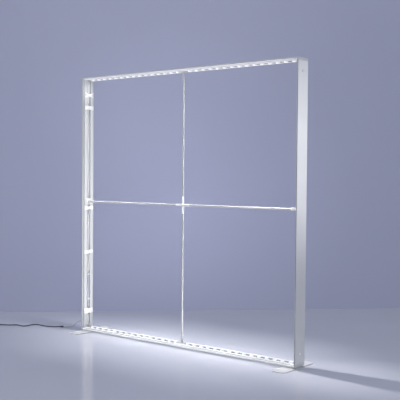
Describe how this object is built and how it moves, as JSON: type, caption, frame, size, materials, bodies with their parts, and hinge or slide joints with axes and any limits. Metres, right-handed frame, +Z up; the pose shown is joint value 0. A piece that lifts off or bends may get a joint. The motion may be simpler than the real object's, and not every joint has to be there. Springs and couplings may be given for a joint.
{
  "type": "lightbox display wall",
  "caption": "Free-standing double-sided lightbox wall without its fabric: slotted aluminium frame with LED lens bars, cross brace, flat feet and a mains lead.",
  "frame": {"origin": "the floor, at the middle of the area that the wall stands on", "axes": "+X along the wall to the right seen from its front, +Y through its depth to the back, +Z up"},
  "size_m": [2.8601, 0.6394, 2.012],
  "materials": {
    "frame_aluminium": "silver white satin anodised",
    "corner_moulding": "moulded, satin, in the frame's tone",
    "button_cream": "moulded, satin cream",
    "spring_steel": "bright spring strip",
    "splice_aluminium": "mill finish",
    "carrier_aluminium": "grey anodised",
    "lens_plastic": "clear moulded lens",
    "brace_moulding": "moulded, satin white",
    "brace_tube": "satin",
    "foot_steel": "powder coat, fine texture",
    "bolt_steel": "zinc plated",
    "driver_case": "satin",
    "clip_plastic": "moulded, satin white",
    "wire_jacket": "white sheathed wire",
    "lead_grey": "grey flexible sheath",
    "socket_grey": "light grey moulded",
    "cord_black": "black flexible sheath and mouldings"
  },
  "bodies": {
    "wall": {"rail_top_left": "frame_aluminium", "rail_top_right": "frame_aluminium", "rail_bottom_left": "frame_aluminium", "rail_bottom_right": "frame_aluminium", "upright_left_lower": "frame_aluminium", "upright_left_upper": "frame_aluminium", "upright_right_lower": "frame_aluminium", "upright_right_upper": "frame_aluminium", "corner_connector_bottom_left": "corner_moulding", "button_spring_bottom_left": "spring_steel", "corner_connector_bottom_right": "corner_moulding", "button_spring_bottom_right": "spring_steel", "corner_connector_top_left": "corner_moulding", "button_spring_top_left": "spring_steel", "corner_connector_top_right": "corner_moulding", "button_spring_top_right": "spring_steel", "led_carrier_top_left": "carrier_aluminium", "led_lens_strip_top_left": "lens_plastic", "led_carrier_top_right": "carrier_aluminium", "led_lens_strip_top_right": "lens_plastic", "led_carrier_bottom_left": "carrier_aluminium", "led_lens_strip_bottom_left": "lens_plastic", "led_carrier_bottom_right": "carrier_aluminium", "led_lens_strip_bottom_right": "lens_plastic", "splice_bar_top": "splice_aluminium", "brace_socket_top": "brace_moulding", "brace_rod_top": "brace_tube", "splice_bar_bottom": "splice_aluminium", "brace_socket_bottom": "brace_moulding", "brace_rod_bottom": "brace_tube", "splice_bar_left": "splice_aluminium", "brace_socket_left": "brace_moulding", "brace_rod_left": "brace_tube", "splice_bar_right": "splice_aluminium", "brace_socket_right": "brace_moulding", "brace_rod_right": "brace_tube", "brace_cross": "brace_moulding", "foot_bolt_left": "bolt_steel", "foot_bolt_right": "bolt_steel", "led_driver": "driver_case", "cable_clip_1": "clip_plastic", "cable_clip_2": "clip_plastic", "cable_clip_3": "clip_plastic", "cable_clip_4": "clip_plastic", "cable_clip_5": "clip_plastic", "lead_gland": "lead_grey", "cable_loom": "wire_jacket", "driver_input_lead": "lead_grey", "supply_lead": "lead_grey", "lead_socket": "socket_grey", "cord_connector": "cord_black", "mains_cord": "cord_black", "mains_cord_coil": "cord_black", "mains_plug": "cord_black"},
    "button_bottom_left": {"snap_button_bottom_left": "button_cream"},
    "button_bottom_right": {"snap_button_bottom_right": "button_cream"},
    "button_top_left": {"snap_button_top_left": "button_cream"},
    "button_top_right": {"snap_button_top_right": "button_cream"},
    "foot_left": {"foot_left": "foot_steel"},
    "foot_right": {"foot_right": "foot_steel"}
  },
  "joints": [
    {"name": "button_bottom_left_press", "type": "slide", "parent": "wall", "child": "button_bottom_left", "axis": [1, 0, 0], "range_m": [0, 0.0032], "stiffness_N_per_m": 600, "springref_m": -0.004, "deforming": ["button_spring_bottom_left"]},
    {"name": "button_bottom_right_press", "type": "slide", "parent": "wall", "child": "button_bottom_right", "axis": [-1, 0, 0], "range_m": [0, 0.0032], "stiffness_N_per_m": 600, "springref_m": -0.004, "deforming": ["button_spring_bottom_right"]},
    {"name": "button_top_left_press", "type": "slide", "parent": "wall", "child": "button_top_left", "axis": [1, 0, 0], "range_m": [0, 0.0032], "stiffness_N_per_m": 600, "springref_m": -0.004, "deforming": ["button_spring_top_left"]},
    {"name": "button_top_right_press", "type": "slide", "parent": "wall", "child": "button_top_right", "axis": [-1, 0, 0], "range_m": [0, 0.0032], "stiffness_N_per_m": 600, "springref_m": -0.004, "deforming": ["button_spring_top_right"]},
    {"name": "foot_left_swivel", "type": "hinge", "parent": "wall", "child": "foot_left", "pos_m": [-0.95, 0, 0], "axis": [0, 0, 1], "range_deg": [-90, 90]},
    {"name": "foot_right_swivel", "type": "hinge", "parent": "wall", "child": "foot_right", "pos_m": [0.95, 0, 0], "axis": [0, 0, 1], "range_deg": [-90, 90]}
  ]
}
